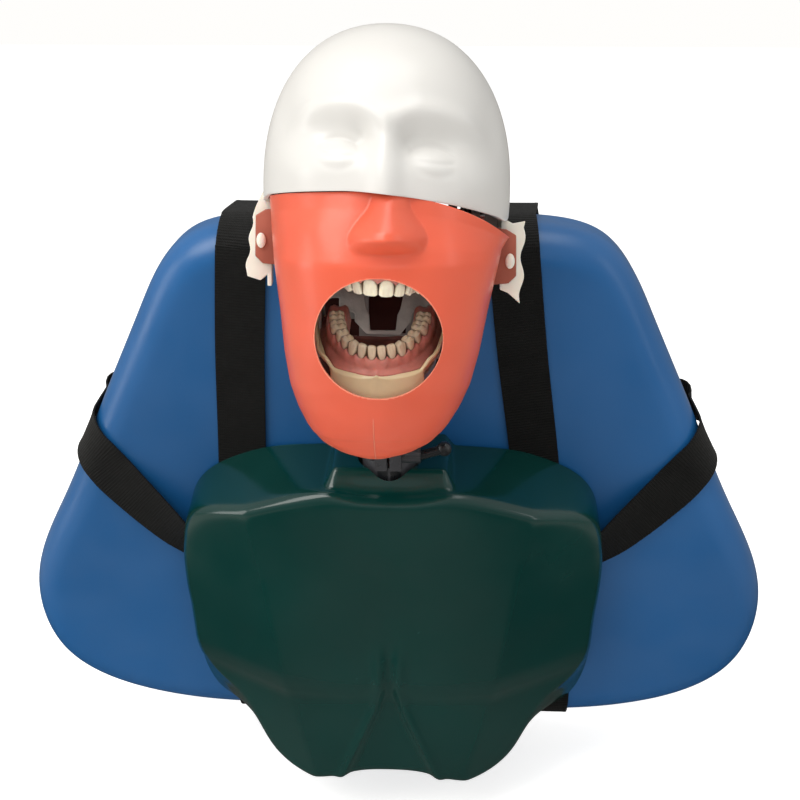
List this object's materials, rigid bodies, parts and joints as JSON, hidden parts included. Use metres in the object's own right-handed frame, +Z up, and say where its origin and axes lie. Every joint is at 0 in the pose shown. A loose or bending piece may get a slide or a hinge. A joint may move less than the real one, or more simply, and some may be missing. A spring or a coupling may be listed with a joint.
{
  "type": "dental training manikin",
  "caption": "Strap-on dental training manikin: hinged jaws with teeth in a rubber mask, skull cap, neck, chest shell and padded back board.",
  "frame": {"origin": "middle of the mounting block's rear face", "axes": "+X to the viewer's right, -Y the way the face looks, +Z up"},
  "size_m": [0.5936, 0.2688, 0.5807],
  "materials": {
    "blue_pad": "smooth satin padded skin",
    "board": "birch plywood",
    "black_plastic": "moulded, fine grain",
    "steel_block": "satin black powder coat",
    "zinc": "zinc plated",
    "green_shell": "deep gloss green",
    "grey_plastic": "moulded",
    "foot_rubber": "matt",
    "webbing": "ribbed black webbing",
    "frame_steel": "satin",
    "cast_alloy": "satin cast",
    "chrome_steel": "polished",
    "brass_washer": "turned",
    "knob_black": "fluted knob",
    "cap_white": "glossy white",
    "core_black": "matt black",
    "ear_cream": "cream",
    "mask_rubber": "satin orange-red silicone",
    "throat_red": "dark red",
    "tooth": "glazed ivory",
    "gum": "wet pink",
    "tray_cream": "cream resin",
    "spring_steel": "drawn wire"
  },
  "bodies": {
    "backrest": {"backrest_pad": "blue_pad", "backrest_board": "board", "rear_cover": "black_plastic", "rear_cover_screws": "zinc", "mount_block": "steel_block", "mount_block_screws": "zinc", "chest_shell": "green_shell", "chest_back_plate": "grey_plastic", "chest_plate_screws": "zinc", "chest_feet": "foot_rubber", "shoulder_strap_left": "webbing", "shoulder_strap_right": "webbing", "side_strap_left": "webbing", "side_strap_right": "webbing", "lower_strap_left": "webbing", "lower_strap_right": "webbing", "strap_rivets": "zinc", "strap_anchors": "frame_steel", "anchor_screws": "zinc", "buckle_frame": "frame_steel", "buckle_rivets": "zinc", "buckle_pin": "zinc", "neck_socket": "cast_alloy", "neck_socket_screws": "zinc"},
    "belt_cam": {"buckle_cam": "chrome_steel"},
    "neck_clamp": {"neck_clamp_lever": "chrome_steel"},
    "neck_lift": {"neck_post": "chrome_steel", "neck_top_bolt": "zinc", "turn_washer": "brass_washer"},
    "neck_turn": {"neck_yoke": "cast_alloy"},
    "turn_lock": {"turn_lock_knob": "knob_black"},
    "head": {"head_chassis": "frame_steel", "head_core": "core_black", "core_screws": "zinc", "skull_cap": "cap_white", "cap_screws": "zinc", "ear_plate_left": "ear_cream", "ear_plate_right": "ear_cream", "ear_plate_screws": "zinc", "mask_buttons": "ear_cream", "face_mask": "mask_rubber", "throat_guard": "throat_red", "hinge_pins": "chrome_steel", "jaw_springs": "spring_steel", "upper_teeth": "tooth", "upper_gum": "gum", "upper_arch_base": "tray_cream", "upper_tooth_screws": "zinc", "upper_arch_screw": "zinc"},
    "tilt_lock": {"tilt_pin": "knob_black"},
    "jaw": {"jaw_frame": "frame_steel", "jaw_bushes": "brass_washer", "lower_teeth": "tooth", "lower_gum": "gum", "mouth_floor": "throat_red", "lower_arch_base": "tray_cream", "lower_tooth_screws": "zinc", "lower_arch_screw": "zinc"}
  },
  "joints": [
    {"name": "neck_height", "type": "slide", "parent": "backrest", "child": "neck_lift", "axis": [0, 0, 1], "range_m": [0, 0.04]},
    {"name": "neck_clamp_turn", "type": "hinge", "parent": "backrest", "child": "neck_clamp", "pos_m": [0, -0.152, 0.082], "axis": [1, 0, 0], "range_deg": [-60, 90]},
    {"name": "belt_cam_open", "type": "hinge", "parent": "backrest", "child": "belt_cam", "pos_m": [0, -0.0094, 0.085], "axis": [0, 0, 1], "range_deg": [0, 75]},
    {"name": "head_turn", "type": "hinge", "parent": "neck_lift", "child": "neck_turn", "pos_m": [0, -0.124, 0.115], "axis": [0, 0, 1], "range_deg": [-30, 30]},
    {"name": "turn_lock_turn", "type": "hinge", "parent": "neck_turn", "child": "turn_lock", "pos_m": [-0.031, -0.124, 0.115], "axis": [1, 0, 0], "range_deg": [-180, 0]},
    {"name": "head_tilt", "type": "hinge", "parent": "neck_turn", "child": "head", "pos_m": [0, -0.14618, 0.16876], "axis": [1, 0, 0], "range_deg": [-10, 20]},
    {"name": "tilt_lock_turn", "type": "hinge", "parent": "head", "child": "tilt_lock", "pos_m": [0, -0.14618, 0.16876], "axis": [1, 0, 0], "range_deg": [-180, 0]},
    {"name": "jaw_open", "type": "hinge", "parent": "head", "child": "jaw", "pos_m": [0, -0.162, 0.25], "axis": [1, 0, 0], "range_deg": [-25, 1.5]}
  ]
}
